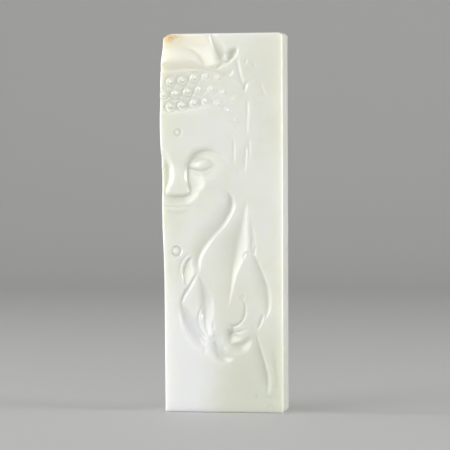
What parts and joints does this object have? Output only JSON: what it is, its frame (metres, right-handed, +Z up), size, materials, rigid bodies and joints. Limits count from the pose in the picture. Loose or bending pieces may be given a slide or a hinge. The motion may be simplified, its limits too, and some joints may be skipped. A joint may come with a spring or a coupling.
{
  "type": "jade plaque",
  "caption": "Slim upright tablet of pale polished jade with a shallow sunken relief: part of a calm curly-haired face above a lotus flower.",
  "frame": {"origin": "middle of the sawn lower end that the plaque stands on", "axes": "+Z up along the plaque's length, -Y out of the carved front, +X across the width to the right as seen from the front"},
  "size_m": [0.0218, 0.008, 0.066],
  "materials": {
    "jade": "pale cream-green nephrite, polished to a soft greasy gloss and faintly see-through at thin edges, with a warm brown skin at the upper left corner"
  },
  "bodies": {
    "root": {"jade_plaque": "jade"}
  },
  "joints": []
}
